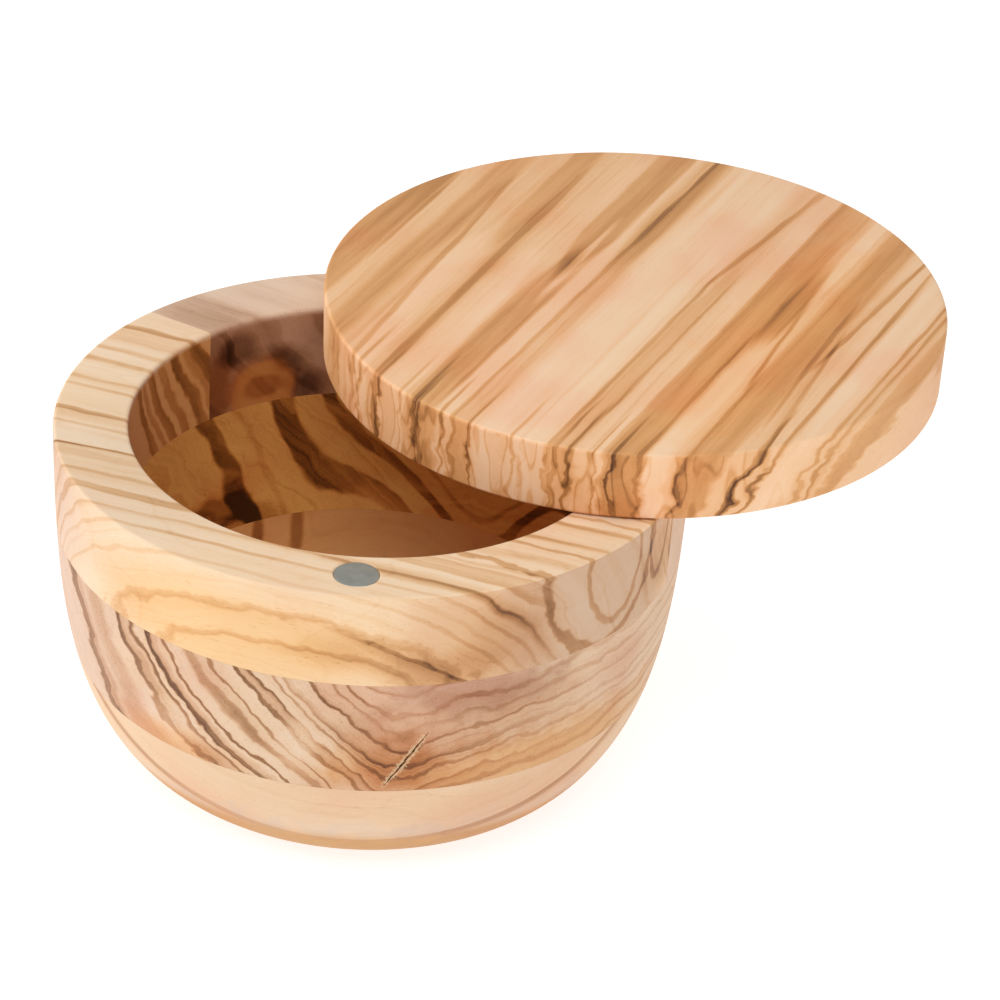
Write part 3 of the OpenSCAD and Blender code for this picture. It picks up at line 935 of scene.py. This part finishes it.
# The base, with the bowl's floor and the flat foot, whose edge is eased
top = bowl["middleUnder"] - bowl["glue"] / 2
wall = [p for p in wallRun(top, 0, bowl["outside"], 40) if p[1] > foot["clear"]]
edge = wall[-1][0]
outline = [(0, 0), (edge - foot["flatInset"], 0.0), (edge - foot["easedInset"], foot["easedLift"])]
floorTop = bowl["inside"]["rim"] - bowl["inside"]["height"]
outline += wall[::-1] + wallRun(top, floorTop, bowl["inside"], 44) + [(0, floorTop)]
base = turnOutline("baseBlock", outline, baseWood, bowl["steps"])
dress(base, "bowl", "base_block")
print("stage: middle layer and base turned")

# The lid: a plain disc, with blind holes for the pin and its magnet
topOfLid = lid["low"] + lid["thick"]
soft = lid["softEdge"]
outline = [(0, lid["low"])]
outline += roundEdge((lid["under"] - soft, lid["low"] + soft), soft, -90)
outline += roundEdge((lid["radius"] - soft, topOfLid - soft), soft, 0)
outline.append((0, topOfLid))
lidBody = turnOutline("lidBoard", outline, lidWood, lid["steps"], lid["centre"])
toPin = Vector((0 - lid["centre"][0], pins["fromAxis"] - lid["centre"][1]))
lidMagnetAt = (lid["centre"][0] - toPin.x, lid["centre"][1] - toPin.y)
for name, radius, deep, spot in (
        ("lidBore", pins["radius"] + pins["play"], pins["inLid"], (0, pins["fromAxis"])),
        ("lidPocket", magnets["radius"] + bowl["glue"], magnets["thick"] + bowl["glue"], lidMagnetAt)):
    cutter = pocket(name, radius, -lid["low"] - deep, -lid["low"], holes["bevel"], (spot[0], -spot[1]))
    cutter.data.transform(Matrix.Rotation(math.pi, 4, "X"))
    cutAway(lidBody, cutter)
dress(lidBody, "lid", "lid_board")
print("stage: lid turned")


def makeMagnet(name, low, spot, faceUp):
    # its face is set a little way into the wood
    soft = magnets["softEdge"]
    high = low + magnets["thick"] - magnets["below"]
    if not faceUp:
        low, high = low + magnets["below"], low + magnets["thick"]
    outline = [(0, low)] + roundEdge((magnets["radius"] - soft, low + soft), soft, -90, 4)
    outline += roundEdge((magnets["radius"] - soft, high - soft), soft, 0, 4) + [(0, high)]
    return turnOutline(name, outline, magnetMetal, magnets["steps"], spot)


rimMagnet = makeMagnet("rimMagnet", rimTop - magnets["thick"], (0, -magnets["fromAxis"]), True)
dress(rimMagnet, "bowl", "rim_magnet")
lidMagnet = makeMagnet("lidMagnet", lid["low"], lidMagnetAt, False)
dress(lidMagnet, "lid", "lid_magnet")
for node, material in (("pivot_pin", pinMetal), ("pivot_washer", washerNylon())):
    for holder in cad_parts[node].material_slots:
        holder.material = material
print("stage: magnets, pin and washer dressed")

# Floor, light and camera, in metres
studio = {"floorReach": 6, "floorGrey": 0.5, "floorGlow": 0.75, "worldStrength": 0.58,
          "aim": (0.02, 0.0, 0.05)}
far = studio["floorReach"]
floorShape = bpy.data.meshes.new("floor")
floorShape.from_pydata([(-far, -far, 0), (far, -far, 0), (far, far, 0), (-far, far, 0)], [], [(0, 1, 2, 3)])
newObject("floor", floorShape)
paper = bpy.data.materials.new("paper")
paper.use_nodes = True
for label, value in (("Base Color", (studio["floorGrey"],) * 3 + (1,)), ("Roughness", 1.0),
                     ("Specular IOR Level", 0.0), ("Emission Color", (1, 1, 1, 1)),
                     ("Emission Strength", studio["floorGlow"])):
    paper.node_tree.nodes["Principled BSDF"].inputs[label].default_value = value
floorShape.materials.append(paper)
world = bpy.data.worlds.new("lightTent")
world.use_nodes = True
world.node_tree.nodes["Background"].inputs["Color"].default_value = (1, 1, 1, 1)
world.node_tree.nodes["Background"].inputs["Strength"].default_value = studio["worldStrength"]
bpy.context.scene.world = world


def softBox(name, place, size, power):
    light = bpy.data.lights.new(name, "AREA")
    light.shape = "RECTANGLE"
    light.size, light.size_y = size
    light.energy = power
    box = newObject(name, light)
    box.location = place
    towards = Vector(studio["aim"]) - Vector(place)
    box.rotation_euler = towards.to_track_quat("-Z", "Y").to_euler()


softBox("leftBox", (-1.1, 0.2, 0.3), (0.6, 0.6), 5.5)
softBox("frontBox", (-0.05, -0.7, 1.05), (0.8, 0.6), 6.0)

shot = {"from": (0.03122, -0.82391, 0.55252), "to": (0.02331, 0.00458, 0.05099), "roll": -3.288,
        "lens": 191.8, "sensor": 36}
camera = bpy.data.cameras.new("camera")
camera.lens = shot["lens"]
camera.sensor_width = shot["sensor"]
viewer = newObject("camera", camera)
ahead = (Vector(shot["to"]) - Vector(shot["from"])).normalized()
right = ahead.cross(Vector((0, 0, 1))).normalized()
up = right.cross(ahead)
roll = math.radians(shot["roll"])
upRolled = up * math.cos(roll) + right * math.sin(roll)
rightRolled = ahead.cross(upRolled)
axes = zip(rightRolled, upRolled, -ahead, shot["from"])
viewer.matrix_world = Matrix([row for row in axes] + [(0, 0, 0, 1)])
bpy.context.scene.camera = viewer
bpy.context.scene.view_settings.view_transform = "Standard"
print("stage: floor, light and camera placed")
